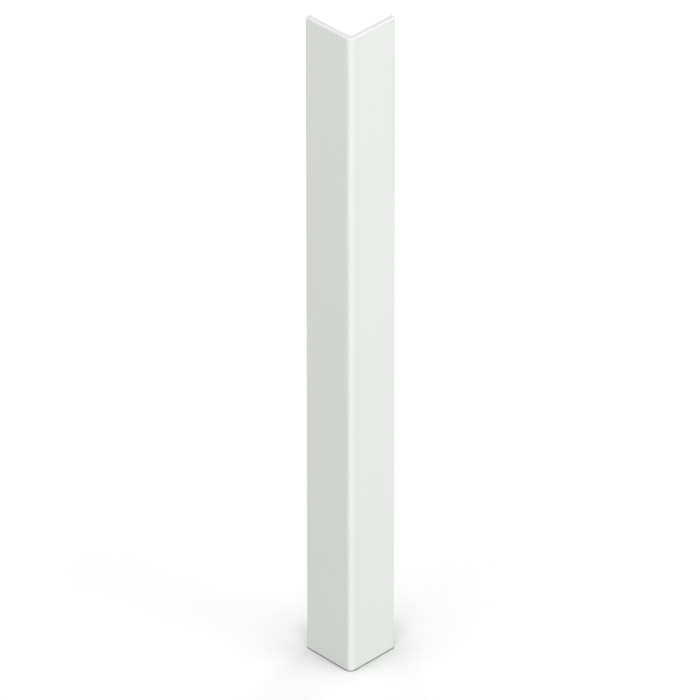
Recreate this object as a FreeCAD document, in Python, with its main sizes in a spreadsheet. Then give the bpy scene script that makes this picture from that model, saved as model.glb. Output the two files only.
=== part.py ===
"""Corner guard moulding: one length of L-section stock that covers the outside corner of a wall.

Millimetres, +Z up. The guard stands on one cut end. One wing runs along +X and the other along +Y,
so the rounded nose is at the -X -Y corner and the space for the wall's corner opens to +X and +Y.
The origin is in the middle of the section's square outline, at the height of the foot.
"""
import FreeCAD, Part
import math
import os

import Sketcher

# Driving dimensions: alias, value in millimetres, what it measures
SIZES = [
    ("length", 1200.0, "Length of the cut piece, foot to top"),
    ("wing_width", 100.0, "Width of each wing, measured over the outer corner"),
    ("wall", 11.0, "Thickness of each wing"),
    ("nose_radius", 9.5, "Rounding of the outer corner"),
    ("root_radius", 1.5, "Small radius where the inner faces meet"),
    ("edge_radius", 2.2, "Easing of the free edges and of both cut ends"),
]
SIZE = {alias: value for alias, value, meaning in SIZES}

DOCUMENT_NAME = "CornerGuardMoulding"
SHEET_NAME = "Sizes"
NODE_NAME = "corner_guard"
OUTPUT_FOLDER = "parts"

# How close two lengths are to count as the same, when an edge is picked by where it lies
SAME_PLACE = 1e-4

# Sketcher's numbers for its own axes and for the places on a piece of geometry
HORIZONTAL_AXIS = -1
VERTICAL_AXIS = -2
START = 1
END = 2


def make_sheet(doc):
    """The sheet that holds every driving dimension beside its meaning."""
    sheet = doc.addObject("Spreadsheet::Sheet", SHEET_NAME)
    for row, (alias, value, meaning) in enumerate(SIZES, start=1):
        sheet.set(f"A{row}", meaning)
        sheet.set(f"B{row}", str(value))
        sheet.setAlias(f"B{row}", alias)
    doc.recompute()
    return sheet


def plane_of(body, role):
    """One of the body's own origin planes."""
    return next(feature for feature in body.Origin.OriginFeatures if feature.Role == role)


def line(start_x, start_y, end_x, end_y):
    """A straight side of the section."""
    return Part.LineSegment(FreeCAD.Vector(start_x, start_y, 0), FreeCAD.Vector(end_x, end_y, 0))


def corner_arc(centre_x, centre_y, radius):
    """The quarter circle that faces the outer corner, drawn from the Y wing round to the X wing."""
    circle = Part.Circle(FreeCAD.Vector(centre_x, centre_y, 0), FreeCAD.Vector(0, 0, 1), radius)
    return Part.ArcOfCircle(circle, math.radians(180), math.radians(270))


def draw_section(body):
    """The L section, with its sharp outer corner on the sketch's origin and its nose rounded off."""
    sketch = body.newObject("Sketcher::SketchObject", "Section")
    sketch.AttachmentSupport = (plane_of(body, "XY_Plane"), [""])
    sketch.MapMode = "FlatFace"

    wing = SIZE["wing_width"]
    wall = SIZE["wall"]
    nose = SIZE["nose_radius"]
    root = SIZE["root_radius"]
    nose_arc = sketch.addGeometry(corner_arc(nose, nose, nose))
    outer_x = sketch.addGeometry(line(nose, 0, wing, 0))
    free_x = sketch.addGeometry(line(wing, 0, wing, wall))
    inner_x = sketch.addGeometry(line(wing, wall, wall + root, wall))
    root_arc = sketch.addGeometry(corner_arc(wall + root, wall + root, root))
    inner_y = sketch.addGeometry(line(wall, wall + root, wall, wing))
    free_y = sketch.addGeometry(line(wall, wing, 0, wing))
    outer_y = sketch.addGeometry(line(0, wing, 0, nose))

    def constrain(kind, *places):
        return sketch.addConstraint(Sketcher.Constraint(kind, *places))

    def dimension(name, alias, *places):
        index = constrain(*places, SIZE[alias])
        sketch.renameConstraint(index, name)
        sketch.setExpression(f"Constraints.{name}", f"{SHEET_NAME}.{alias}")

    # The four square corners at the free edges
    constrain("Coincident", outer_x, END, free_x, START)
    constrain("Coincident", free_x, END, inner_x, START)
    constrain("Coincident", inner_y, END, free_y, START)
    constrain("Coincident", free_y, END, outer_y, START)

    # The nose and the root run smoothly into the faces beside them
    constrain("Tangent", outer_y, END, nose_arc, START)
    constrain("Tangent", nose_arc, END, outer_x, START)
    constrain("Tangent", inner_x, END, root_arc, END)
    constrain("Tangent", root_arc, START, inner_y, START)

    # Both wings are square to each other, with their outer faces on the axes
    constrain("Horizontal", inner_x)
    constrain("Vertical", inner_y)
    constrain("Vertical", free_x)
    constrain("Horizontal", free_y)
    constrain("PointOnObject", outer_x, START, HORIZONTAL_AXIS)
    constrain("PointOnObject", outer_x, END, HORIZONTAL_AXIS)
    constrain("PointOnObject", outer_y, START, VERTICAL_AXIS)
    constrain("PointOnObject", outer_y, END, VERTICAL_AXIS)

    dimension("WingAlongX", "wing_width", "DistanceX", HORIZONTAL_AXIS, START, free_x, START)
    dimension("WingAlongY", "wing_width", "DistanceY", HORIZONTAL_AXIS, START, free_y, END)
    dimension("WallOfWingX", "wall", "DistanceY", free_x, START, free_x, END)
    dimension("WallOfWingY", "wall", "DistanceX", free_y, END, free_y, START)
    dimension("Nose", "nose_radius", "Radius", nose_arc)
    dimension("Root", "root_radius", "Radius", root_arc)
    return sketch


def extrude_section(body, sketch):
    """The section drawn out to the length of the piece."""
    pad = body.newObject("PartDesign::Pad", "Extrusion")
    pad.Profile = sketch
    pad.setExpression("Length", f"{SHEET_NAME}.length")
    sketch.Visibility = False
    return pad


def lies_at(low, high, place):
    """True where an extent from low to high has no length and lies at the place."""
    return abs(low - place) < SAME_PLACE and abs(high - place) < SAME_PLACE


def names_of_eased_edges(shape):
    """Every edge of both cut ends, and the four long edges of the wings' free edges."""
    names = []
    for number, edge in enumerate(shape.Edges, start=1):
        box = edge.BoundBox
        on_cut_end = lies_at(box.ZMin, box.ZMax, 0) or lies_at(box.ZMin, box.ZMax, SIZE["length"])
        on_free_x = lies_at(box.XMin, box.XMax, SIZE["wing_width"])
        on_free_y = lies_at(box.YMin, box.YMax, SIZE["wing_width"])
        if on_cut_end or on_free_x or on_free_y:
            names.append(f"Edge{number}")
    return names


def ease_edges(body, pad):
    """The light rounding that takes the sharpness off the free edges and the cut ends."""
    fillet = body.newObject("PartDesign::Fillet", "EasedEdges")
    fillet.Base = (pad, names_of_eased_edges(pad.Shape))
    fillet.setExpression("Radius", f"{SHEET_NAME}.edge_radius")
    return fillet


def make_corner_guard(doc):
    """The whole guard: one extruded section with its edges eased, centred over the origin."""
    body = doc.addObject("PartDesign::Body", "CornerGuard")
    body.Label = NODE_NAME
    body.setExpression("Placement.Base.x", f"-{SHEET_NAME}.wing_width / 2")
    body.setExpression("Placement.Base.y", f"-{SHEET_NAME}.wing_width / 2")
    sketch = draw_section(body)
    doc.recompute()
    pad = extrude_section(body, sketch)
    doc.recompute()
    body.Tip = ease_edges(body, pad)
    doc.recompute()
    return body


def check(doc, bodies):
    """Stop before anything is written if an object failed or a solid is bad."""
    for item in doc.Objects:
        if "Invalid" in item.State or "Error" in item.State:
            raise RuntimeError(f"{item.Label} is in state {item.State}")
    for body in bodies:
        if body.Shape.isNull() or not body.Shape.isValid():
            raise RuntimeError(f"{body.Label} has no valid shape")
        if len(body.Shape.Solids) != 1:
            raise RuntimeError(f"{body.Label} is not one solid")


def write(bodies):
    """One file for each sub-part, named after its label."""
    os.makedirs(OUTPUT_FOLDER, exist_ok=True)
    for body in bodies:
        body.Shape.exportStep(os.path.join(OUTPUT_FOLDER, f"{body.Label}.step"))
        box = body.Shape.optimalBoundingBox(True, False)
        print(
            f"{body.Label}: {box.XLength:.2f} x {box.YLength:.2f} x {box.ZLength:.2f} mm,"
            f" {body.Shape.Volume / 1000:.1f} cm3"
        )


def main():
    doc = FreeCAD.newDocument(DOCUMENT_NAME)
    make_sheet(doc)
    bodies = [make_corner_guard(doc)]
    doc.recompute()
    check(doc, bodies)
    write(bodies)


main()
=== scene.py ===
"""The looks of a corner guard moulding that stands on one cut end: its refined form, its satin
plastic, a white studio floor, soft light and the camera. Metres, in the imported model's frame."""
import bmesh
import bpy
import math
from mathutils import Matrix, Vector


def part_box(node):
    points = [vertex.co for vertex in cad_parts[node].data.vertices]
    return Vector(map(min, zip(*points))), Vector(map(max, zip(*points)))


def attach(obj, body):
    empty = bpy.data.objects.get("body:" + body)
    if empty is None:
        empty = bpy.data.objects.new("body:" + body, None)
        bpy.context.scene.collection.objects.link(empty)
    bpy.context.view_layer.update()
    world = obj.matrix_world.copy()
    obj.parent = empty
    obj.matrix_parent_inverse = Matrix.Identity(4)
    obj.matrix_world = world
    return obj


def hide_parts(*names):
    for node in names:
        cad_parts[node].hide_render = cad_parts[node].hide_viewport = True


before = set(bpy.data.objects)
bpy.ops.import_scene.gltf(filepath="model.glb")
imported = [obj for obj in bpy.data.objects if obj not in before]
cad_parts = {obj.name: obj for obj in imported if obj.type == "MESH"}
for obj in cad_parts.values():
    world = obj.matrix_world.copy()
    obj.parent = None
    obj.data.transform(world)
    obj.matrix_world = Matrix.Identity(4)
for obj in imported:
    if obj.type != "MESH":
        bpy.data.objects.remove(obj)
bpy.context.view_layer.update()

# The guard's section. Its length and the width of its wings come from the frame.
GUARD_NODE = "corner_guard"
WALL = 0.011
NOSE_RADIUS = 0.0095
ROOT_RADIUS = 0.0015
EDGE_RADIUS = 0.0022
NOSE_STEPS = 32
ROOT_STEPS = 8
EDGE_STEPS = 8
# the bevel tool's profile that gives a circular arc
ROUND_PROFILE = 0.5
guard_low, guard_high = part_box(GUARD_NODE)

X, Y = 0, 1
# How close two places are to count as the same when edges are picked
SAME_PLACE = 1e-5
# A normal with more than this along an axis points that way
POINTS_ALONG = 0.9
# A cut end's normal has more than this upright, and a face along the length has less
HALF_UPRIGHT = 0.5
# Faces that meet at less than these angles are joined into one, or shaded as one smooth surface
FLAT_ANGLE = math.radians(1)
SMOOTH_ANGLE = math.radians(35)

# The plastic: a pale grey-green white with a satin surface, rougher on the cut ends, whose darker
# tone is painted shade
PLASTIC_DEEP = (0.779, 0.822, 0.772, 1)
PLASTIC_PALE = (0.793, 0.836, 0.786, 1)
# the cut ends' tone, darker than the drawn faces: painted shade on the upward cut end
PLASTIC_SAWN_PAINTED_SHADE = (0.747, 0.765, 0.740, 1)
PLASTIC_SPECULAR = 0.3
SATIN_LOW = 0.44
SATIN_HIGH = 0.54
SAWN_ROUGHNESS = 0.62
# the cut ends' saw marks, roughness and painted-shade tone begin and are complete at these
# distances from the plane of the cut
SAWN_AND_SHADE_BEGINS = 0.0002
SAWN_AND_SHADE_COMPLETE = 0.00005

# The plastic's patterns: how fine each is, its detail, and how it is stretched and turned
DRAWN_LINES = {"scale": 420, "detail": 3, "stretch": (1, 1, 0.01)}
SAW_MARKS = {"scale": 900, "detail": 2, "stretch": (1, 0.04, 1), "turn": math.radians(28)}
PEEL = {"scale": 650, "detail": 2}
DRIFT = {"scale": 7, "detail": 2}
# most of a noise pattern lies between these values
NOISE_LOW = 0.3
NOISE_HIGH = 0.7
# the relief of the lines or saw marks, and of the peel over it
LINE_RELIEF = {"strength": 0.25, "depth": 0.00003}
PEEL_RELIEF = {"strength": 0.3, "depth": 0.00004}

# The camera. The picture is square, 700 pixels a side.
CAMERA_AZIMUTH = -44.85
CAMERA_PITCH = 33.70
CAMERA_DISTANCE = 13.876
CAMERA_AIM_ASIDE = -0.0008
CAMERA_AIM_HEIGHT = 0.5800
CAMERA_LENS = 450
CAMERA_SENSOR = 36
CAMERA_SEES_TO = 10 * CAMERA_DISTANCE

# The floor: half its side, and how far its middle lies aside, so that the seam of its two halves
# stays away from the guard
FLOOR_HALF = 40
FLOOR_ASIDE = 10
# its tone where it is looked at, and as a source of light on the guard
FLOOR_SEEN = 0.99
FLOOR_BOUNCE = 0.12
# it begins to rise to plain white at the first distance and reaches it at the second
FLOOR_WHITENS_FROM = 0.5
FLOOR_WHITE_AT = 4.0
# The two painted shades round the foot, a wide shadow and a contact shadow along the foot, which
# darken the floor's colour:
# the azimuth and elevation each is thrown from, how far it reaches,
# how open the floor is where it is deepest and where it ends, and how deep it is
WIDE_SHADE = {
    "thrown_from": (-45.0, 50.0), "reach": 0.15, "shut": 0, "free": 1, "depth": 0.82,
}
PAINTED_CONTACT_SHADE = {
    "thrown_from": (-45.0, 90.0), "reach": 0.007, "shut": 0.2, "free": 0.8, "depth": 0.86,
}
SHADE_SAMPLES = 12

# The room's even light, and the lamps: azimuth and elevation of each seen from the guard, its
# distance, its width and its power
WHITE = (1, 1, 1, 1)
ROOM_LIGHT = 0.14
LAMPS = {
    "front_softbox": (-45.0, 10.0, 16.0, 8.0, 865.0),
    "front_right_softbox": (-15.0, 10.0, 16.0, 8.0, 535.0),
    "right_softbox": (15.0, 10.0, 16.0, 8.0, 1070.0),
    "left_softbox": (-90.0, 18.0, 16.0, 16.0, 1160.0),
    "high_left_softbox": (-135.0, 60.0, 16.0, 8.0, 220.0),
    "high_right_softbox": (45.0, 60.0, 16.0, 8.0, 200.0),
    "back_right_softbox": (100.0, 10.0, 16.0, 8.0, 1250.0),
    "back_left_softbox": (170.0, 10.0, 16.0, 8.0, 1105.0),
    "overhead_softbox": (-45.0, 89.0, 8.0, 4.0, 210.0),
}


def direction(azimuth, elevation):
    """Towards a viewer at that azimuth and elevation. Azimuth 0 is at -Y, and 90 is at +X."""
    around = math.radians(azimuth)
    above = math.radians(elevation)
    return Vector((
        math.sin(around) * math.cos(above),
        -math.cos(around) * math.cos(above),
        math.sin(above),
    ))


def select_only(piece, kind, wanted):
    """In edit mode, select the piece's faces or edges that the test wants, and nothing else."""
    bpy.ops.mesh.select_mode(type=kind)
    bpy.ops.mesh.select_all(action="DESELECT")
    edited = bmesh.from_edit_mesh(piece.data)
    elements = edited.faces if kind == "FACE" else edited.edges
    for element in elements:
        if wanted(element):
            element.select_set(True)
    bmesh.update_edit_mesh(piece.data)


def lies_in(edge, axis, place):
    """True for an edge with both its ends at that place along the axis."""
    return all(abs(vert.co[axis] - place) < SAME_PLACE for vert in edge.verts)


def stands_at(edge, x, y):
    """True for an upright edge at that place in the section."""
    return lies_in(edge, X, x) and lies_in(edge, Y, y)


def bounds_cut_end(edge):
    """True for an edge between a cut end and a face along the length."""
    uprights = sorted(abs(face.normal.z) for face in edge.link_faces)
    return uprights[0] < HALF_UPRIGHT < uprights[-1]


def bounds_free_edge(edge):
    """True for an upright edge where a wing ends."""
    start = edge.verts[0].co
    at_wing_end = lies_in(edge, X, guard_high.x) or lies_in(edge, Y, guard_high.y)
    return at_wing_end and stands_at(edge, start.x, start.y)


def round_off(radius, steps):
    """Round the selected edges off to an arc of that radius."""
    bpy.ops.mesh.bevel(
        offset=radius,
        offset_type="OFFSET",
        segments=steps,
        profile=ROUND_PROFILE,
        affect="EDGES",
    )


def draw_out(move):
    """Draw the selected face out by that move."""
    bpy.ops.mesh.extrude_region_move(TRANSFORM_OT_translate={"value": move})


def model_guard():
    """The guard as one form: a post at its outer corner, drawn out into two wings, then eased."""
    low, high = guard_low, guard_high
    length = high.z - low.z
    reach = high.x - low.x - WALL
    root_x = low.x + WALL
    root_y = low.y + WALL
    bpy.ops.object.select_all(action="DESELECT")
    bpy.ops.mesh.primitive_cube_add(
        size=1,
        location=(low.x + WALL / 2, low.y + WALL / 2, low.z + length / 2),
        scale=(WALL, WALL, length),
    )
    guard = bpy.context.active_object
    guard.name = "corner_guard_moulding"
    bpy.ops.object.transform_apply(location=True, rotation=True, scale=True)

    def faces_wing_x(face):
        return face.normal.x > POINTS_ALONG

    def faces_wing_y(face):
        return face.normal.y > POINTS_ALONG and face.calc_center_median().x < root_x

    bpy.ops.object.mode_set(mode="EDIT")
    select_only(guard, "FACE", faces_wing_x)
    draw_out((reach, 0, 0))
    select_only(guard, "FACE", faces_wing_y)
    draw_out((0, reach, 0))
    # the post and its wings are joined into plain faces, so that the roundings meet cleanly
    bpy.ops.mesh.select_all(action="SELECT")
    bpy.ops.mesh.dissolve_limited(angle_limit=FLAT_ANGLE)

    select_only(guard, "EDGE", lambda edge: stands_at(edge, low.x, low.y))
    round_off(NOSE_RADIUS, NOSE_STEPS)
    select_only(guard, "EDGE", lambda edge: stands_at(edge, root_x, root_y))
    round_off(ROOT_RADIUS, ROOT_STEPS)
    select_only(guard, "EDGE", lambda edge: bounds_cut_end(edge) or bounds_free_edge(edge))
    round_off(EDGE_RADIUS, EDGE_STEPS)
    bpy.ops.object.mode_set(mode="OBJECT")

    bpy.ops.object.shade_smooth_by_angle(angle=SMOOTH_ANGLE)
    evened = guard.modifiers.new("even_faces", "WEIGHTED_NORMAL")
    evened.keep_sharp = True
    bpy.ops.object.modifier_apply(modifier=evened.name)
    return guard


def feed(tree, socket, value):
    """Join a socket to another one, or set it to a plain value."""
    if isinstance(value, bpy.types.NodeSocket):
        tree.links.new(value, socket)
    else:
        socket.default_value = value


def calculate(tree, operation, *values):
    """One step of arithmetic on values that are sockets or plain numbers."""
    step = tree.nodes.new("ShaderNodeMath")
    step.operation = operation
    for socket, value in zip(step.inputs, values):
        feed(tree, socket, value)
    return step.outputs["Value"]


def map_range(tree, value, from_low, from_high, to_low=0, to_high=1):
    """The value carried over from one range to another, and held inside it."""
    ranged = tree.nodes.new("ShaderNodeMapRange")
    feed(tree, ranged.inputs["Value"], value)
    feed(tree, ranged.inputs["From Min"], from_low)
    feed(tree, ranged.inputs["From Max"], from_high)
    feed(tree, ranged.inputs["To Min"], to_low)
    feed(tree, ranged.inputs["To Max"], to_high)
    return ranged.outputs["Result"]


def blend(tree, kind, share, first, second):
    """The first value where the share is 0 and the second where it is 1. Colours or numbers."""
    socket_type = {"RGBA": "RGBA", "FLOAT": "VALUE"}[kind]
    mix = tree.nodes.new("ShaderNodeMix")
    mix.data_type = kind
    feed(tree, mix.inputs["Factor"], share)
    sockets = [
        socket for socket in mix.inputs
        if socket.name in ("A", "B") and socket.type == socket_type
    ]
    for socket, value in zip(sockets, (first, second)):
        feed(tree, socket, value)
    return next(socket for socket in mix.outputs if socket.type == socket_type)


def noise(tree, place, scale, detail, stretch=(1, 1, 1), turn=0.0):
    """A noise pattern in the piece's own space, stretched and turned about the upright."""
    mapping = tree.nodes.new("ShaderNodeMapping")
    mapping.inputs["Scale"].default_value = stretch
    mapping.inputs["Rotation"].default_value = (0, 0, turn)
    tree.links.new(place, mapping.inputs["Vector"])
    pattern = tree.nodes.new("ShaderNodeTexNoise")
    pattern.inputs["Scale"].default_value = scale
    pattern.inputs["Detail"].default_value = detail
    tree.links.new(mapping.outputs["Vector"], pattern.inputs["Vector"])
    return pattern.outputs["Fac"]


def relief(tree, height, strength, depth, under=None):
    """A bump of that depth in metres, laid over another one."""
    bump = tree.nodes.new("ShaderNodeBump")
    bump.inputs["Strength"].default_value = strength
    bump.inputs["Distance"].default_value = depth
    tree.links.new(height, bump.inputs["Height"])
    if under is not None:
        tree.links.new(under, bump.inputs["Normal"])
    return bump.outputs["Normal"]


def sawn_and_shaded_share(tree, place):
    """1 on the two cut ends and 0 on everything between them: there go the saw marks, the roughness
    and the darker tone that is painted shade.
    """
    parts = tree.nodes.new("ShaderNodeSeparateXYZ")
    tree.links.new(place, parts.inputs["Vector"])
    middle = (guard_low.z + guard_high.z) / 2
    half_length = (guard_high.z - guard_low.z) / 2
    above_middle = calculate(tree, "SUBTRACT", parts.outputs["Z"], middle)
    away = calculate(tree, "ABSOLUTE", above_middle)
    return map_range(tree, away, half_length - SAWN_AND_SHADE_BEGINS, half_length - SAWN_AND_SHADE_COMPLETE)


def satin_plastic():
    """Extruded plastic: a pale tone, faint drawn lines and a light peel; rougher with saw marks on
    the cut ends, and darker there as painted shade.
    """
    material = bpy.data.materials.new("satin_plastic")
    material.use_nodes = True
    tree = material.node_tree
    shader = tree.nodes["Principled BSDF"]
    shader.inputs["Specular IOR Level"].default_value = PLASTIC_SPECULAR
    place = tree.nodes.new("ShaderNodeTexCoord").outputs["Object"]

    drawn_lines = noise(tree, place, **DRAWN_LINES)
    saw_marks = noise(tree, place, **SAW_MARKS)
    peel = noise(tree, place, **PEEL)
    drift = noise(tree, place, **DRIFT)
    sawn_and_shaded = sawn_and_shaded_share(tree, place)

    drawn_tone = blend(tree, "RGBA", drift, PLASTIC_DEEP, PLASTIC_PALE)
    # the cut ends take a darker tone, which is painted shade
    tone = blend(tree, "RGBA", sawn_and_shaded, drawn_tone, PLASTIC_SAWN_PAINTED_SHADE)
    tree.links.new(tone, shader.inputs["Base Color"])

    satin = map_range(tree, drawn_lines, NOISE_LOW, NOISE_HIGH, SATIN_LOW, SATIN_HIGH)
    roughness = blend(tree, "FLOAT", sawn_and_shaded, satin, SAWN_ROUGHNESS)
    tree.links.new(roughness, shader.inputs["Roughness"])

    texture = blend(tree, "FLOAT", sawn_and_shaded, drawn_lines, saw_marks)
    line_relief = relief(tree, texture, **LINE_RELIEF)
    surface = relief(tree, peel, **PEEL_RELIEF, under=line_relief)
    tree.links.new(surface, shader.inputs["Normal"])
    return material


def seen_directly(tree):
    """1 for what the camera sees, straight, mirrored or through glass, and 0 for light."""
    path = tree.nodes.new("ShaderNodeLightPath")
    straight_or_mirrored = calculate(
        tree, "MAXIMUM", path.outputs["Is Camera Ray"], path.outputs["Is Glossy Ray"]
    )
    return calculate(
        tree, "MAXIMUM", straight_or_mirrored, path.outputs["Is Transmission Ray"]
    )


def light_room():
    """A white room to look at, which lights the guard evenly and more dimly."""
    world = bpy.data.worlds.new("white_room")
    bpy.context.scene.world = world
    world.use_nodes = True
    tree = world.node_tree
    tree.nodes.clear()
    mix = tree.nodes.new("ShaderNodeMixShader")
    tree.links.new(seen_directly(tree), mix.inputs["Fac"])
    for socket, strength in ((mix.inputs[1], ROOM_LIGHT), (mix.inputs[2], 1)):
        background = tree.nodes.new("ShaderNodeBackground")
        background.inputs["Color"].default_value = WHITE
        background.inputs["Strength"].default_value = strength
        tree.links.new(background.outputs["Background"], socket)
    output = tree.nodes.new("ShaderNodeOutputWorld")
    tree.links.new(mix.outputs["Shader"], output.inputs["Surface"])


def open_share(tree, thrown_from, reach, shut, free, depth):
    """A painted shade for the floor's colour: 1 where the floor is open within that reach, less by
    the depth where it is shut in.

    Thrown from the front, the shade lies more behind the guard than before it.
    """
    nearness = tree.nodes.new("ShaderNodeAmbientOcclusion")
    nearness.samples = SHADE_SAMPLES
    nearness.inputs["Distance"].default_value = reach
    facing = tree.nodes.new("ShaderNodeCombineXYZ")
    for axis, value in zip("XYZ", direction(*thrown_from)):
        facing.inputs[axis].default_value = value
    tree.links.new(facing.outputs["Vector"], nearness.inputs["Normal"])
    return map_range(tree, nearness.outputs["AO"], shut, free, 1 - depth)


def floor_rise(tree):
    """0 on the floor near the guard, rising to 1 where the floor is to be plain white."""
    place = tree.nodes.new("ShaderNodeTexCoord").outputs["Object"]
    distance = tree.nodes.new("ShaderNodeVectorMath")
    distance.operation = "LENGTH"
    tree.links.new(place, distance.inputs[0])
    return map_range(tree, distance.outputs["Value"], FLOOR_WHITENS_FROM, FLOOR_WHITE_AT)


def white_floor():
    """A matte white that the lamps and two painted shades tone near the guard, and plain white far
    off.
    """
    material = bpy.data.materials.new("pale_floor")
    material.use_nodes = True
    tree = material.node_tree
    tree.nodes.clear()
    seen = seen_directly(tree)
    wide_shade = open_share(tree, **WIDE_SHADE)
    painted_contact_shade = open_share(tree, **PAINTED_CONTACT_SHADE)
    # painted shade: the floor's seen colour and its lift are darkened where the guard shuts the
    # floor in
    shade = calculate(tree, "MULTIPLY", wide_shade, painted_contact_shade)

    matte = tree.nodes.new("ShaderNodeBsdfDiffuse")
    seen_tone = calculate(tree, "MULTIPLY", shade, FLOOR_SEEN)
    tree.links.new(blend(tree, "FLOAT", seen, FLOOR_BOUNCE, seen_tone), matte.inputs["Color"])

    lift = tree.nodes.new("ShaderNodeEmission")
    seen_shade = calculate(tree, "MULTIPLY", seen, shade)
    strength = calculate(tree, "MULTIPLY", seen_shade, floor_rise(tree))
    tree.links.new(strength, lift.inputs["Strength"])

    both = tree.nodes.new("ShaderNodeAddShader")
    output = tree.nodes.new("ShaderNodeOutputMaterial")
    tree.links.new(matte.outputs["BSDF"], both.inputs[0])
    tree.links.new(lift.outputs["Emission"], both.inputs[1])
    tree.links.new(both.outputs["Shader"], output.inputs["Surface"])
    return material


def lay_floor():
    """The floor under the guard."""
    bpy.ops.object.select_all(action="DESELECT")
    bpy.ops.mesh.primitive_plane_add(
        size=2 * FLOOR_HALF,
        location=(FLOOR_ASIDE, -FLOOR_ASIDE, guard_low.z),
    )
    floor = bpy.context.active_object
    floor.name = "studio_floor"
    bpy.ops.object.transform_apply(location=True, rotation=False, scale=False)
    floor.data.materials.append(white_floor())


def place_facing(item, aim, towards, distance):
    """Put a lamp or a camera that far from its aim in that direction, and turn it to the aim."""
    item.location = aim + towards * distance
    item.rotation_mode = "QUATERNION"
    item.rotation_quaternion = (-towards).to_track_quat("-Z", "Y")


def hang_lamps():
    """Round softboxes that face the middle of the guard."""
    middle = (guard_low + guard_high) / 2
    for name, (azimuth, elevation, distance, width, power) in LAMPS.items():
        light = bpy.data.lights.new(name, "AREA")
        light.shape = "DISK"
        light.size = width
        light.energy = power
        lamp = bpy.data.objects.new(name, light)
        bpy.context.scene.collection.objects.link(lamp)
        place_facing(lamp, middle, direction(azimuth, elevation), distance)
        lamp.visible_camera = False


def set_camera():
    """A long lens that looks down on the nose, with both wings going back from it."""
    lens = bpy.data.cameras.new("camera")
    lens.lens = CAMERA_LENS
    lens.sensor_width = CAMERA_SENSOR
    lens.clip_end = CAMERA_SEES_TO
    camera = bpy.data.objects.new("camera", lens)
    bpy.context.scene.collection.objects.link(camera)
    around = math.radians(CAMERA_AZIMUTH)
    aside = Vector((math.cos(around), math.sin(around), 0))
    aim = aside * CAMERA_AIM_ASIDE + Vector((0, 0, CAMERA_AIM_HEIGHT))
    place_facing(camera, aim, direction(CAMERA_AZIMUTH, CAMERA_PITCH), CAMERA_DISTANCE)
    bpy.context.scene.camera = camera


guard = model_guard()
guard.data.materials.clear()
guard.data.materials.append(satin_plastic())
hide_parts(GUARD_NODE)
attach(guard, "root")
light_room()
lay_floor()
hang_lamps()
set_camera()
bpy.context.scene.view_settings.view_transform = "Standard"
